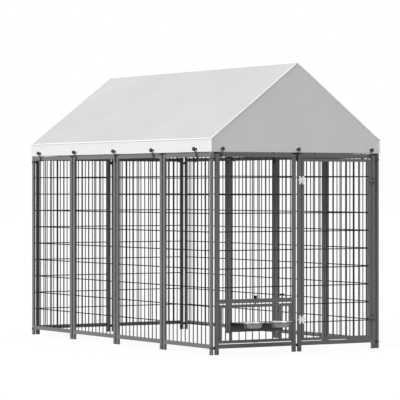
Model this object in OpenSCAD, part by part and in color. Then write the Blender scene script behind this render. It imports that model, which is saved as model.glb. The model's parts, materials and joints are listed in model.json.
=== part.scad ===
// Outdoor dog kennel run: twelve welded wire panels, a hinged door leaf, a turning bowl feeder
// and a gable roof frame under a tied-down cover. Millimetres, +Z up, the door end faces -Y.

/* [Panels] */
// Width of one panel over its two posts
panel_w = 590; // [520:1:680]
// Height of a panel, from the ground to the top of its posts
panel_h = 1240; // [1150:1:1400]
// Width of the frame tube in the plane of the panel
tube_w = 25; // [22:0.5:30]
// Depth of the frame tube through the panel
tube_d = 13; // [13:0.5:18]
// Wall of every frame tube
tube_wall = 1.2; // [0.8:0.1:1.6]
// Height of the bottom rail's underside above the ground
foot_h = 38; // [32:1:60]
// Gap between the posts of neighbouring panels
post_gap = 16; // [16:0.5:24]

/* [Wires] */
// Diameter of the welded wires
wire_d = 6.3; // [4:0.1:6.4]
// Upright wires in a panel
wires_up = 10; // [8:1:11]
// Level wires in a panel
wires_across = 9; // [7:1:11]
// Distance from a rail to the nearest level wire
row_edge = 119; // [90:1:130]
// Gap left at each wire crossing, where the weld sits
cross_gap = 0.1; // [0.05:0.05:0.3]

/* [Feet and joints] */
// Thickness of the plug's pad under each post
foot_pad = 3; // [2:0.5:5]
// Height of the ground anchor hole in each foot
anchor_z = 17; // [15:0.5:22]
// Diameter of the ground anchor hole
anchor_d = 7; // [5:0.5:9]
// Distance of each anchor hole from the middle of its post, always to the same side of the panel
anchor_off = 3; // [2:0.5:4]
// Distance of each joint stud from the panel's top end
stud_top = 36; // [36:1:60]
// Distance of each joint stud from the ground
stud_bottom = 42; // [38:1:60]
// Diameter of a joint stud's spigots and of a corner bolt
stud_d = 8; // [6:0.5:9]
// Diameter of a joint stud's collar and of a corner spacer
collar_d = 17; // [13:0.5:18]
// Length of a spigot inside its post
spigot_l = 8; // [5:0.5:10]
// Height of the skirt that a cap wraps round its post
cap_skirt_h = 5; // [3:0.5:8]
// Thickness of a cap's skirt
cap_skirt = 1; // [0.8:0.1:1.2]
// Thickness of a cap's top
cap_top = 3.5; // [2:0.5:4]

/* [Door] */
// Width and height of the door leaf's tube
leaf_tube = 18; // [16:0.5:22]
// Gap beside and under the door leaf
door_gap = 4; // [3:0.5:6]
// Gap over the door leaf, where the tie-down cords pass
door_top_gap = 7; // [6.5:0.5:10]
// Distance from a stile to the nearest upright wire
leaf_edge = 20; // [15:0.5:30]
// Drop from the panels' top to the upper hinge and latch
upper_drop = 168; // [140:1:340]
// Height of the lower hinge and latch
lower_z = 200; // [150:1:400]

/* [Hinges] */
// Length of a hinge's three knuckles
barrel_l = 26; // [24:1:30]
// Thickness of a hinge plate
hinge_t = 2; // [1.5:0.1:2.5]
// Radius of a hinge knuckle
knuckle_r = 4.5; // [4:0.1:5.5]
// Diameter of a hinge pin
hinge_pin_d = 5; // [4:0.1:5.5]
// Radius of the two lobes that carry a leaf's screws
lobe_r = 7.5; // [7:0.1:7.8]
// Height of a screw above and below the middle of its hinge
lobe_z = 19.5; // [18:0.5:24]
// Distance from the pin to the screws
lobe_x = 12.5; // [12.5:0.1:13]
// Width of the plate between a leaf's two lobes
neck_w = 13; // [11:0.5:13.5]
// Radius of a leaf's rounded tip
tip_r = 6.5; // [5:0.5:7]
// Distance from the pin to the end of a leaf's tip
tip_reach = 25.5; // [24:0.5:26.5]
// Height of the arm behind a leaf's tip
arm_h = 11; // [8:0.5:11]

/* [Latches] */
// Height of a latch housing and of its keeper
latch_h = 39; // [34:1:50]
// Depth of a latch housing and of its keeper in front of the frame
latch_d = 9; // [8.5:0.5:12]
// Width of a keeper
keeper_w = 16; // [12:0.5:18]
// Height of the sliding bolt
bolt_h = 12; // [8:0.5:13]
// Thickness of the sliding bolt
bolt_t = 5; // [4:0.5:5.5]
// Travel of the sliding bolt
bolt_travel = 14; // [10:0.5:15]

/* [Feeder] */
// Height of the underside of the rail over the feeder
mid_rail_z = 313; // [290:1:340]
// Gap between the feeder and the rail over it
feeder_top_gap = 8; // [6:0.5:10]
// Gap between the feeder and the rail under it
feeder_low_gap = 5; // [4:0.5:8]
// Gap beside the feeder
feeder_gap = 4; // [3:0.5:6]
// Width and height of the feeder's tube
feeder_tube = 18; // [16:0.5:20]
// Width of the two inner uprights that carry the shelf
upright_w = 15; // [13:0.5:16]
// Distance from the turning axis to the middle of an upright
upright_x = 182; // [178:0.5:186]
// Height of the shelf's top face
shelf_z = 197; // [180:1:220]
// Reach of the shelf in front of the feeder
shelf_reach = 200; // [198:1:204]
// Height of the shelf's back flange
shelf_flange = 60; // [40:1:70]
// Thickness of the shelf's sheet
shelf_t = 2.5; // [1.5:0.1:3]
// Radius of the shelf's outer corners
shelf_corner = 45; // [42:1:60]
// Diameter of the turning pivots
pivot_d = 8; // [6:0.5:9]
// Travel of the lock pin
lock_travel = 12; // [11:0.5:14]
// Diameter of the lock pin's knob
lock_knob_d = 28; // [22:1:34]

/* [Bowls] */
// Outer diameter of a bowl's rim
bowl_rim_d = 152; // [146:1:156]
// Diameter of a bowl's body under the rim
bowl_top_d = 126; // [116:1:130]
// Diameter of a bowl's base
bowl_base_d = 104; // [90:1:110]
// Depth of a bowl below the shelf's top face
bowl_depth = 32; // [26:1:45]
// Wall of a bowl
bowl_wall = 1.2; // [0.8:0.1:2]
// Distance of each bowl's centre from the turning axis, along the shelf
bowl_x = 100; // [96:0.5:104]
// Distance of each bowl's centre in front of the feeder
bowl_y = 120; // [116:0.5:121]

/* [Roof] */
// Height of the cover's lower edge over the panels' top
cover_rise = 6; // [5:0.5:8]
// Height of the cover's outer shoulder over the panels' top
eave_rise = 87; // [80:1:130]
// Height of the cover's ridge over the panels' top
ridge_rise = 566; // [440:1:700]
// Thickness of the cover
cover_t = 2; // [1.5:0.1:2.5]
// Gap between the cover and the frame under it
cover_gap = 1; // [0.7:0.1:1.5]
// Drop from the cover's shoulder to the underside of the eave tubes
eave_drop = 34; // [32:1:44]
// Drop from the ridge bracket's underside to the ridge tubes
ridge_drop = 8; // [7:0.5:14]
// Thickness of the ridge brackets
bracket_t = 3; // [2:0.5:5]
// Length of a ridge bracket's wing down the slope
bracket_w = 90; // [70:1:120]

/* [Tie-downs] */
// Height of the grommets over the panels' top
grommet_rise = 25; // [24:0.5:34]
// Outer diameter of a grommet
grommet_d = 36; // [28:0.5:36]
// Diameter of a grommet's opening
grommet_hole = 17; // [16.5:0.5:20]
// Diameter of a tie-down's ball
ball_d = 25.5; // [20:0.5:26]
// Distance from the grommet to its ball
ball_neck = 5; // [4:0.5:20]
// Diameter of the tie-down cord
cord_d = 3.6; // [3:0.1:3.8]
// Distance from a tie-down's middle to each of its two strands
cord_x = 5.6; // [5.5:0.1:5.7]
// Distance from an end panel's outer post to its tie-down
cord_edge = 15; // [12:0.5:18]

/* [Hidden] */
$fn = 48;

// Panels along each long side
side_count = 4;
// Colours
graphite = [0.33, 0.33, 0.34];
black = [0.08, 0.08, 0.08];
zinc = [0.82, 0.82, 0.82];
steel = [0.72, 0.73, 0.74];
sheet_white = [0.88, 0.88, 0.88];
// Overrun of a cut past the face that it opens
over = 1;
// Clearance round a fixed plug, spigot or screw in its hole
fit = 0.2;
// Radial running clearance of a pin that turns or slides
run_fit = 0.05;
// Gap between faces that move past each other
slip = 0.4;
// Depth of a wire's end inside the wall that it is welded to
weld_sink = tube_wall / 2;

// Overall plan, over the posts
half_w = (2 * panel_w + 3 * post_gap + 2 * tube_d) / 2;
half_l = (side_count * panel_w + (side_count - 1) * post_gap) / 2;
function side_y(k) = -half_l + k * (panel_w + post_gap);
function end_x(k) = -half_w + tube_d + post_gap + k * (panel_w + post_gap);

// Heights of the rails and of the joint studs
top_rail_z = panel_h - tube_w;
low_rail_top = foot_h + tube_w;
studs_z = [stud_bottom, panel_h - stud_top];

// Wire places
clear_w = panel_w - 2 * tube_w;
wire_pitch = clear_w / (wires_up + 1);
function wire_x(k) = tube_w + k * wire_pitch;
row_low = low_rail_top + row_edge;
row_pitch = (top_rail_z - row_edge - row_low) / (wires_across - 1);
function row_z(k) = row_low + (k - 1) * row_pitch;
wire_step = (wire_d + cross_gap) / 2;

// Door leaf, in its panel's own frame
leaf_x0 = tube_w + door_gap;
leaf_x1 = panel_w - tube_w - door_gap;
leaf_z0 = low_rail_top + door_gap;
leaf_z1 = top_rail_z - door_top_gap;
leaf_step = (leaf_x1 - leaf_x0 - 2 * leaf_tube - 2 * leaf_edge) / (wires_up - 1);
pin_x = tube_w + door_gap / 2;
knuckle_h = (barrel_l - 2 * slip) / 3;
upper_z = panel_h - upper_drop;
pair_z = [upper_z, lower_z];

// Screws and bolts
screw_d = 4;
screw_l = 8;
screw_head_d = 7.5;
screw_head_h = 2.2;

// Latches, in the door panel's own frame
housing_margin = 0.5;
housing_x0 = leaf_x1 - leaf_tube + housing_margin;
housing_x1 = leaf_x1 - housing_margin;
housing_w = housing_x1 - housing_x0;
keeper_x0 = leaf_x1 + door_gap + housing_margin;
latch_screw_z = (latch_h / 2 + bolt_h / 2) / 2;
bolt_back = latch_d - bolt_t - 2;
tab_t = 4;
tab_out = 9;

// Feeder, in its panel's own frame
feeder_x = panel_w / 2;
feeder_half = clear_w / 2 - feeder_gap;
feeder_z0 = low_rail_top + feeder_low_gap;
feeder_z1 = mid_rail_z - feeder_top_gap;
mid_rail_top = mid_rail_z + tube_w;
shelf_half = upright_x + upright_w / 2;
// The lock pin stands in the bay between two upright wires
lock_x = wire_x(wires_up - 0.5) - feeder_x;
knob_d = 18;
knob_h = 20;
sleeve_d = 16;
sleeve_h = 2.5;
lock_rest = mid_rail_top + sleeve_h + lock_travel + fit;
washer_d = 20;
lock_knob_h = 12;
bowl_rim_t = 1.6;
shelf_bolt_in = 10;
shelf_bolt_z = [shelf_z - shelf_flange + shelf_bolt_in, shelf_z - shelf_t - shelf_bolt_in];

// Roof profile: a gable whose outline moves inwards by o, measured square to each face
roof_half = half_w + cover_gap + cover_t;
cover_low = panel_h + cover_rise;
eave_z = panel_h + eave_rise;
ridge_z = panel_h + ridge_rise;
roof_rise = (ridge_z - eave_z) / roof_half;
roof_angle = atan(roof_rise);
function roof_x(o) = roof_half - o;
function roof_ridge(o) = ridge_z - o / cos(roof_angle);
function roof_eave(o) = roof_ridge(o) - roof_x(o) * roof_rise;
rafter_o = cover_gap + cover_t;
rafter_in = rafter_o + tube_d;
bracket_in = rafter_in + bracket_t;
leg_base = 4;
leg_z = panel_h + leg_base;
tongue_l = 26;
eave_tube_z = eave_z - eave_drop;
ridge_tube_z = roof_ridge(bracket_in) - ridge_drop - tube_w;
roof_bolt_d = 6;
roof_bolt_in = 18;
roof_bolt_x = [roof_bolt_in + 12, bracket_w - roof_bolt_in];
// Lower ends in Y of the front, middle and rear rafters, each over one post
hoop_y = [side_y(0), side_y(2), side_y(3) + panel_w - tube_w];

// Tie-downs: u is the distance outwards from the frame's face
grommet_z = panel_h + grommet_rise;
grommet_out = cover_gap + cover_t + 1.6;
grommet_in = cover_gap - 0.6;
ball_u = grommet_out + ball_neck + ball_d / 2;
cord_seat = 0.8;
cord_bend_r = 5;
// Distance outwards of the strand that climbs outside the rail
cord_up = cap_skirt + fit + cord_seat + cord_d / 2;
// Knot where that strand turns out to its ball, and its height seen from the grommet
knot_d = cord_d + 2;
knot_drop = 10;
knot_z = -grommet_rise - knot_drop;
// Distance from a ball's middle at which its strands meet the ball
ball_stop = sqrt(pow(ball_d / 2, 2) - pow(cord_x - cord_d / 2, 2)) + run_fit;
cord_in = tube_d + cap_skirt + cord_seat + cord_d / 2;
rail_low = top_rail_z - cord_seat - cord_d / 2;
stud_low = panel_h - stud_top - collar_d / 2 - cord_seat - cord_d / 2;
// Distance of a tie-down from the middle of a long side: its panel and its place among the upright wires,
// which its two strands pass on both sides or leave to one side
function tie_y(panel, place) = side_y(panel) + wire_x(place);
mid_panel = side_count / 2;
end_panel = side_count - 1;
// Each place holds the distance along the side and the height of the cord's lowest run
side_ties = [
    [-tie_y(end_panel, wires_up - 2), rail_low], [-tie_y(mid_panel, wires_up - 0.5), rail_low], [0, stud_low],
    [tie_y(mid_panel, wires_up + 0.5), rail_low], [tie_y(end_panel, wires_up - 1.25), rail_low]
];
end_tie = -end_x(0) - tube_w - cord_edge;
end_ties = [[-end_tie, rail_low], [0, stud_low], [end_tie, rail_low]];

// The origin is the middle of the footprint, bowls' shelf and tie-down balls included
rear_reach = ball_u + ball_d / 2;
shift_y = (shelf_reach - rear_reach) / 2;

module whole() { translate([0, shift_y, 0]) children(); }
module at_left(k) { whole() translate([-half_w, side_y(k) + panel_w, 0]) rotate(-90) children(); }
module at_right(k) { whole() translate([half_w, side_y(k), 0]) rotate(90) children(); }
module at_front(k) { whole() translate([end_x(k), -half_l, 0]) children(); }
module at_rear(k) { whole() translate([end_x(k) + panel_w, half_l, 0]) rotate(180) children(); }
module along_x(d, l) { rotate([0, 90, 0]) cylinder(d = d, h = l); }
module along_y(d, l) { rotate([-90, 0, 0]) cylinder(d = d, h = l); }

// Posts of a panel, or their hollows when drawn smaller by a wall
module posts(inset) {
    reach = inset > 0 ? over : 0;
    for (x = [0, panel_w - tube_w])
        translate([x + inset, inset, foot_pad - reach])
            cube([tube_w - 2 * inset, tube_d - 2 * inset, panel_h - foot_pad + 2 * reach]);
}

// Rails of a panel, or their hollows, which open into the posts' hollows
module rails(levels, inset) {
    reach = inset > 0 ? tube_wall + over : weld_sink;
    for (z = levels)
        translate([tube_w - reach, inset, z + inset])
            cube([clear_w + 2 * reach, tube_d - 2 * inset, tube_w - 2 * inset]);
}

// Upright wires at the places xs, between two heights
module upright_wires(xs, z0, z1) {
    for (x = xs)
        translate([x, tube_d / 2 - wire_step, z0 - weld_sink])
            cylinder(d = wire_d, h = z1 - z0 + 2 * weld_sink);
}

// Level wires at the heights zs, between two places
module level_wires(zs, x0, x1) {
    for (z = zs)
        translate([x0 - weld_sink, tube_d / 2 + wire_step, z])
            along_x(wire_d, x1 - x0 + 2 * weld_sink);
}

// Holes of a panel: ground anchors in both feet, and at each end stud holes or a corner bolt's holes
module panel_holes(low_corner, high_corner) {
    for (x = [tube_w / 2, panel_w - tube_w / 2])
        translate([x + anchor_off, -over, anchor_z]) along_y(anchor_d, tube_d + 2 * over);
    for (z = studs_z) {
        if (low_corner) translate([tube_d / 2, -over, z]) along_y(stud_d + 2 * fit, tube_d + 2 * over);
        else translate([-over, tube_d / 2, z]) along_x(stud_d + 2 * fit, tube_wall + 2 * over);
        if (high_corner)
            translate([panel_w - tube_d / 2, -over, z]) along_y(stud_d + 2 * fit, tube_d + 2 * over);
        else
            translate([panel_w - tube_wall - over, tube_d / 2, z])
                along_x(stud_d + 2 * fit, tube_wall + 2 * over);
    }
}

// Bare welded frame of a panel
module panel_frame(levels, low_corner = false, high_corner = false) {
    difference() {
        union() {
            posts(0);
            rails(levels, 0);
        }
        posts(tube_wall);
        rails(levels, tube_wall);
        panel_holes(low_corner, high_corner);
    }
}

// Welded wire panel
module panel(low_corner = false, high_corner = false) {
    color(graphite) {
        panel_frame([foot_h, top_rail_z], low_corner, high_corner);
        upright_wires([for (k = [1:wires_up]) wire_x(k)], low_rail_top, top_rail_z);
        level_wires([for (k = [1:wires_across]) row_z(k)], tube_w, panel_w - tube_w);
    }
}

module left_panel(k) { at_left(k) panel(k == side_count - 1, k == 0); }
module right_panel(k) { at_right(k) panel(k == 0, k == side_count - 1); }
module rear_panel(k) { at_rear(k) panel(); }

// Panel with a low opening for the turning feeder, and a rail over the opening
module feeder_panel() {
    rows = [for (k = [1:wires_across]) if (row_z(k) > mid_rail_top + wire_d) row_z(k)];
    at_front(0) color(graphite) {
        difference() {
            panel_frame([foot_h, mid_rail_z, top_rail_z]);
            translate([feeder_x, tube_d / 2, mid_rail_z - over])
                cylinder(d = pivot_d + 2 * fit, h = tube_w + 2 * over);
            translate([feeder_x + lock_x, tube_d / 2, mid_rail_z - over])
                cylinder(d = pivot_d + 2 * fit, h = tube_w + 2 * over);
            translate([feeder_x, tube_d / 2, low_rail_top - tube_wall - over])
                cylinder(d = pivot_d + 2 * fit, h = tube_wall + 2 * over);
        }
        upright_wires([for (k = [1:wires_up]) wire_x(k)], mid_rail_top, top_rail_z);
        level_wires(rows, tube_w, panel_w - tube_w);
    }
}

// Screw places on the door: each is a hole from the front through one tube wall
module screw_holes(xs, zs) {
    for (x = xs, z = zs)
        translate([x, -over, z]) along_y(screw_d + 2 * fit, tube_wall + 2 * over);
}
hinge_screws_z = [for (z = pair_z, s = [-1, 1]) z + s * lobe_z];
latch_screws_z = [for (z = pair_z, s = [-1, 1]) z + s * latch_screw_z];
housing_screw_x = (housing_x0 + housing_x1) / 2;
keeper_screw_x = keeper_x0 + keeper_w / 2;

// Frame round the doorway
module door_panel_frame() {
    at_front(1) color(graphite) difference() {
        panel_frame([foot_h, top_rail_z]);
        screw_holes([pin_x - lobe_x], hinge_screws_z);
        screw_holes([keeper_screw_x], latch_screws_z);
    }
}

// Ring of tube with its hollow, between two corners
module tube_ring(x0, x1, z0, z1, t) {
    difference() {
        translate([x0, 0, z0]) cube([x1 - x0, tube_d, z1 - z0]);
        translate([x0 + t, -over, z0 + t]) cube([x1 - x0 - 2 * t, tube_d + 2 * over, z1 - z0 - 2 * t]);
        difference() {
            translate([x0 + tube_wall, tube_wall, z0 + tube_wall])
                cube([x1 - x0 - 2 * tube_wall, tube_d - 2 * tube_wall, z1 - z0 - 2 * tube_wall]);
            translate([x0 + t - tube_wall, 0, z0 + t - tube_wall])
                cube([x1 - x0 - 2 * t + 2 * tube_wall, tube_d, z1 - z0 - 2 * t + 2 * tube_wall]);
        }
    }
}

// Swinging door leaf
module door_leaf() {
    first = leaf_x0 + leaf_tube + leaf_edge;
    at_front(1) color(graphite) {
        difference() {
            tube_ring(leaf_x0, leaf_x1, leaf_z0, leaf_z1, leaf_tube);
            screw_holes([pin_x + lobe_x], hinge_screws_z);
            screw_holes([housing_screw_x], latch_screws_z);
        }
        upright_wires([for (k = [0:wires_up - 1]) first + k * leaf_step],
            leaf_z0 + leaf_tube, leaf_z1 - leaf_tube);
        level_wires([for (k = [1:wires_across]) row_z(k)], leaf_x0 + leaf_tube, leaf_x1 - leaf_tube);
    }
}

// Cap for one post top; the skirt leaves the rail's side open
module cap(rail_side) {
    x0 = rail_side > 0 ? -cap_skirt - fit : 0;
    difference() {
        translate([x0, -cap_skirt - fit, panel_h - cap_skirt_h])
            cube([tube_w + cap_skirt + fit, tube_d + 2 * cap_skirt + 2 * fit, cap_skirt_h + cap_top]);
        translate([rail_side > 0 ? -fit : -over, -fit, panel_h - cap_skirt_h - over])
            cube([tube_w + fit + over, tube_d + 2 * fit, cap_skirt_h + over]);
    }
}

module cap_pair(low, high) {
    if (low) cap(1);
    if (high) translate([panel_w - tube_w, 0, 0]) cap(-1);
}

// Plastic caps on every post that carries no rafter
module post_caps() {
    color(black) {
        for (k = [0:1]) {
            at_front(k) cap_pair(true, true);
            at_rear(k) cap_pair(true, true);
        }
        for (k = [0:side_count - 1]) {
            front_free = k != 0 && k != 2;
            rear_free = k != side_count - 1;
            at_left(k) cap_pair(rear_free, front_free);
            at_right(k) cap_pair(front_free, rear_free);
        }
    }
}

// Plastic plugs in every foot
module foot_pair() {
    plug_l = 8;
    inset = tube_wall + fit;
    for (x = [0, panel_w - tube_w]) {
        translate([x, 0, 0]) cube([tube_w, tube_d, foot_pad]);
        translate([x + inset, inset, 0]) cube([tube_w - 2 * inset, tube_d - 2 * inset, foot_pad + plug_l]);
    }
}

module foot_plugs() {
    color(black) {
        for (k = [0:1]) {
            at_front(k) foot_pair();
            at_rear(k) foot_pair();
        }
        for (k = [0:side_count - 1]) {
            at_left(k) foot_pair();
            at_right(k) foot_pair();
        }
    }
}

// Collared studs in the gap beyond a panel's far end
module stud_set() {
    for (z = studs_z) {
        translate([panel_w - tube_wall - spigot_l, tube_d / 2, z])
            along_x(stud_d, post_gap + 2 * tube_wall + 2 * spigot_l);
        translate([panel_w, 0, z - collar_d / 2]) cube([post_gap, tube_d, collar_d]);
    }
}

module joint_studs() {
    color(black) {
        for (k = [0:side_count - 2]) at_right(k) stud_set();
        for (k = [1:side_count - 1]) at_left(k) stud_set();
        at_front(0) stud_set();
        at_rear(1) stud_set();
    }
}

// Places of the four corners, each with X pointing inwards from the long side's outer face
module corners() {
    whole() for (sx = [0, 1], sy = [-1, 1], z = studs_z)
        mirror([sx, 0, 0]) translate([-half_w, sy * (half_l - tube_d / 2), z]) children();
}

// Bolts from the long sides into the end panels
module corner_bolts() {
    head_d = 12;
    head_h = 4;
    color(black) corners() {
        translate([-head_h, 0, 0]) along_x(head_d, head_h);
        translate([-head_h, 0, 0]) along_x(stud_d, head_h + tube_d + post_gap + tube_wall + spigot_l);
    }
}

// Spacers between the long sides and the end panels
module corner_spacers() {
    color(black) corners() translate([tube_d, 0, 0]) difference() {
        translate([0, -tube_d / 2, -collar_d / 2]) cube([post_gap, tube_d, collar_d]);
        translate([-over, 0, 0]) along_x(stud_d + 2 * fit, post_gap + 2 * over);
    }
}

// One hinge leaf with its knuckles, two screw lobes and a tip; side is -1 on the post and 1 on the door
module hinge_leaf(side) {
    spans = side < 0 ? [0, 2] : [1];
    gaps = side < 0 ? [1] : [0, 2];
    step = knuckle_h + slip;
    low = -barrel_l / 2;
    tip_x = tip_reach - tip_r;
    difference() {
        union() {
            for (s = [-1, 1])
                translate([side * lobe_x, 0, s * lobe_z]) rotate([90, 0, 0])
                    cylinder(r = lobe_r, h = hinge_t);
            translate([side * lobe_x - neck_w / 2, -hinge_t, -lobe_z]) cube([neck_w, hinge_t, 2 * lobe_z]);
            translate([side * tip_x, 0, 0]) rotate([90, 0, 0]) cylinder(r = tip_r, h = hinge_t);
            translate([side > 0 ? lobe_x : -tip_x, -hinge_t, -arm_h / 2])
                cube([tip_x - lobe_x, hinge_t, arm_h]);
            for (k = spans) {
                translate([0, -knuckle_r, low + k * step]) cylinder(r = knuckle_r, h = knuckle_h);
                translate([side > 0 ? 0 : -lobe_x, -hinge_t, low + k * step])
                    cube([lobe_x, hinge_t, knuckle_h]);
            }
        }
        for (k = gaps)
            translate([0, -knuckle_r, low + k * step - slip])
                cylinder(r = knuckle_r + slip, h = knuckle_h + 2 * slip);
        translate([0, -knuckle_r, low - over])
            cylinder(d = hinge_pin_d + 2 * run_fit, h = barrel_l + 2 * over);
        for (s = [-1, 1])
            translate([side * lobe_x, -hinge_t - over, s * lobe_z])
                along_y(screw_d + 2 * fit, hinge_t + 2 * over);
    }
}

module hinge_places() { at_front(1) for (z = pair_z) translate([pin_x, 0, z]) children(); }
module hinge_post_leaves() { color(zinc) hinge_places() hinge_leaf(-1); }
module hinge_door_leaves() { color(zinc) hinge_places() hinge_leaf(1); }

// Hinge pins with a head at each end
module hinge_pins() {
    head_d = 7;
    head_h = 1.5;
    color(zinc) hinge_places() translate([0, -knuckle_r, -barrel_l / 2]) {
        cylinder(d = hinge_pin_d, h = barrel_l);
        for (z = [-head_h, barrel_l]) translate([0, 0, z]) cylinder(d = head_d, h = head_h);
    }
}

// Pan-head screw whose head sits at the depth y
module screw(y) {
    translate([0, y - screw_head_h, 0]) along_y(screw_head_d, screw_head_h);
    translate([0, y - screw_head_h, 0]) along_y(screw_d, screw_head_h - y + screw_l);
}

module hinge_screws(side) {
    color(zinc) hinge_places() for (s = [-1, 1])
        translate([side * lobe_x, 0, s * lobe_z]) screw(-hinge_t);
}
module hinge_post_screws() { hinge_screws(-1); }
module hinge_door_screws() { hinge_screws(1); }

module latch_places() { at_front(1) for (z = pair_z) translate([0, 0, z]) children(); }

// Block with a slot for the sliding bolt and two screw holes
module latch_block(x0, w) {
    difference() {
        translate([x0, -latch_d, -latch_h / 2]) cube([w, latch_d, latch_h]);
        translate([x0 - over, -bolt_back - bolt_t - slip, -bolt_h / 2 - slip])
            cube([w + 2 * over, bolt_t + 2 * slip, bolt_h + 2 * slip]);
        for (s = [-1, 1])
            translate([x0 + w / 2, -latch_d - over, s * latch_screw_z])
                along_y(screw_d + 2 * fit, latch_d + 2 * over);
    }
}

module latch_housings() { color(graphite) latch_places() latch_block(housing_x0, housing_w); }
module latch_keepers() { color(graphite) latch_places() latch_block(keeper_x0, keeper_w); }

// Sliding bolt, drawn back, with its finger tab
module latch_bolt(z) {
    tail_x = housing_x0 - bolt_travel - slip;
    color(graphite) at_front(1) translate([0, 0, z]) {
        translate([tail_x - tab_t, -bolt_back - bolt_t, -bolt_h / 2])
            cube([housing_x1 - tail_x + tab_t, bolt_t, bolt_h]);
        translate([tail_x - tab_t, -bolt_back - bolt_t - tab_out, -bolt_h / 2])
            cube([tab_t, bolt_t + tab_out, bolt_h]);
    }
}
module upper_latch_bolt() { latch_bolt(upper_z); }
module lower_latch_bolt() { latch_bolt(lower_z); }

module latch_screws(x) {
    color(black) latch_places() for (s = [-1, 1]) translate([x, 0, s * latch_screw_z]) screw(-latch_d);
}
module latch_housing_screws() { latch_screws(housing_screw_x); }
module latch_keeper_screws() { latch_screws(keeper_screw_x); }

// Feeder parts stand in a frame whose Z axis is the turning axis
module at_feeder() { at_front(0) translate([feeder_x, 0, 0]) children(); }

// Turning frame of the feeder
module feeder_frame() {
    wires = [for (k = [1:wires_up]) if (abs(abs(wire_x(k) - feeder_x) - upright_x) > wire_d + upright_w / 2)
        wire_x(k) - feeder_x];
    z0 = feeder_z0 + feeder_tube;
    z1 = feeder_z1 - feeder_tube;
    at_feeder() color(graphite) {
        difference() {
            union() {
                tube_ring(-feeder_half, feeder_half, feeder_z0, feeder_z1, feeder_tube);
                for (s = [-1, 1])
                    translate([s * upright_x - upright_w / 2, 0, z0 - weld_sink])
                        cube([upright_w, tube_d, z1 - z0 + 2 * weld_sink]);
            }
            for (s = [-1, 1]) {
                translate([s * upright_x - upright_w / 2 + tube_wall, tube_wall, z0 - tube_wall - over])
                    cube([upright_w - 2 * tube_wall, tube_d - 2 * tube_wall,
                        z1 - z0 + 2 * tube_wall + 2 * over]);
                translate([s * lock_x, tube_d / 2, feeder_z1 - tube_wall - over])
                    cylinder(d = pivot_d + 2 * slip, h = tube_wall + 2 * over);
                for (z = shelf_bolt_z)
                    translate([s * upright_x, -over, z]) along_y(screw_d + 2 * fit, tube_wall + 2 * over);
            }
            for (z = [feeder_z0, feeder_z1 - tube_wall])
                translate([0, tube_d / 2, z - over])
                    cylinder(d = pivot_d + 2 * run_fit, h = tube_wall + 2 * over);
        }
        upright_wires(wires, z0, z1);
    }
}

// Shelf sheet: a back flange on the uprights and a plate with two round seats
module feeder_shelf() {
    at_feeder() color(graphite) difference() {
        union() {
            translate([-shelf_half, -shelf_t, shelf_z - shelf_flange])
                cube([2 * shelf_half, shelf_t, shelf_flange]);
            translate([0, 0, shelf_z - shelf_t]) linear_extrude(shelf_t) union() {
                translate([-shelf_half, shelf_corner - shelf_reach])
                    square([2 * shelf_half, shelf_reach - shelf_corner]);
                translate([shelf_corner - shelf_half, -shelf_reach])
                    square([2 * shelf_half - 2 * shelf_corner, shelf_reach]);
                for (s = [-1, 1])
                    translate([s * (shelf_half - shelf_corner), shelf_corner - shelf_reach])
                        circle(r = shelf_corner);
            }
        }
        for (s = [-1, 1]) {
            translate([s * bowl_x, -bowl_y, shelf_z - shelf_t - over])
                cylinder(d = bowl_top_d + 3, h = shelf_t + 2 * over, $fn = 96);
            for (z = shelf_bolt_z)
                translate([s * upright_x, -shelf_t - over, z]) along_y(screw_d + 2 * fit, shelf_t + 2 * over);
        }
    }
}

module feeder_shelf_bolts() {
    color(black) at_feeder() for (s = [-1, 1], z = shelf_bolt_z)
        translate([s * upright_x, 0, z]) screw(-shelf_t);
}

// Upper pivot: a knob-headed bolt through the rail over the feeder
module feeder_pivot_bolt() {
    tip = feeder_z1 - tube_wall - spigot_l;
    color(black) at_feeder() translate([0, tube_d / 2, 0]) {
        translate([0, 0, tip]) cylinder(d = pivot_d, h = mid_rail_top - tip + knob_h);
        translate([0, 0, mid_rail_top]) cylinder(d = knob_d, h = knob_h);
    }
}

// Lower pivot: a pin that stands in the bottom rail
module feeder_pivot_pin() {
    foot = low_rail_top - tube_wall - spigot_l;
    color(black) at_feeder() translate([0, tube_d / 2, foot])
        cylinder(d = pivot_d, h = feeder_z0 + tube_wall + spigot_l - foot);
}

// Washer that carries the feeder's weight
module feeder_thrust_washer() {
    color(steel) at_feeder() translate([0, tube_d / 2, low_rail_top]) difference() {
        cylinder(d = washer_d, h = feeder_low_gap - slip / 2);
        translate([0, 0, -over]) cylinder(d = pivot_d + 2 * fit, h = feeder_low_gap + 2 * over);
    }
}

// Guide sleeve of the lock pin, on the rail over the feeder
module feeder_lock_sleeve() {
    color(black) at_feeder() translate([lock_x, tube_d / 2, mid_rail_top]) difference() {
        cylinder(d = sleeve_d, h = sleeve_h);
        translate([0, 0, -over]) cylinder(d = pivot_d + 2 * run_fit, h = sleeve_h + 2 * over);
    }
}

// Lock pin, drawn up
module feeder_lock_pin() {
    color(black) at_feeder() translate([lock_x, tube_d / 2, 0]) {
        translate([0, 0, mid_rail_z]) cylinder(d = pivot_d, h = lock_rest - mid_rail_z + lock_knob_h);
        translate([0, 0, lock_rest]) cylinder(d = lock_knob_d, h = lock_knob_h);
    }
}

// Stainless bowl with a flat rim, resting on the shelf
module bowl(side) {
    seat = fit / 2;
    top_r = bowl_top_d / 2;
    base_r = bowl_base_d / 2;
    at_feeder() translate([side * bowl_x, -bowl_y, shelf_z]) color(steel) rotate_extrude($fn = 96) polygon([
        [0, -bowl_depth], [base_r, -bowl_depth], [top_r, seat], [bowl_rim_d / 2, seat],
        [bowl_rim_d / 2, seat + bowl_rim_t], [top_r - bowl_wall, seat + bowl_rim_t],
        [base_r - bowl_wall, bowl_wall - bowl_depth], [0, bowl_wall - bowl_depth]
    ]);
}
module bowl_left() { bowl(-1); }
module bowl_right() { bowl(1); }

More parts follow.
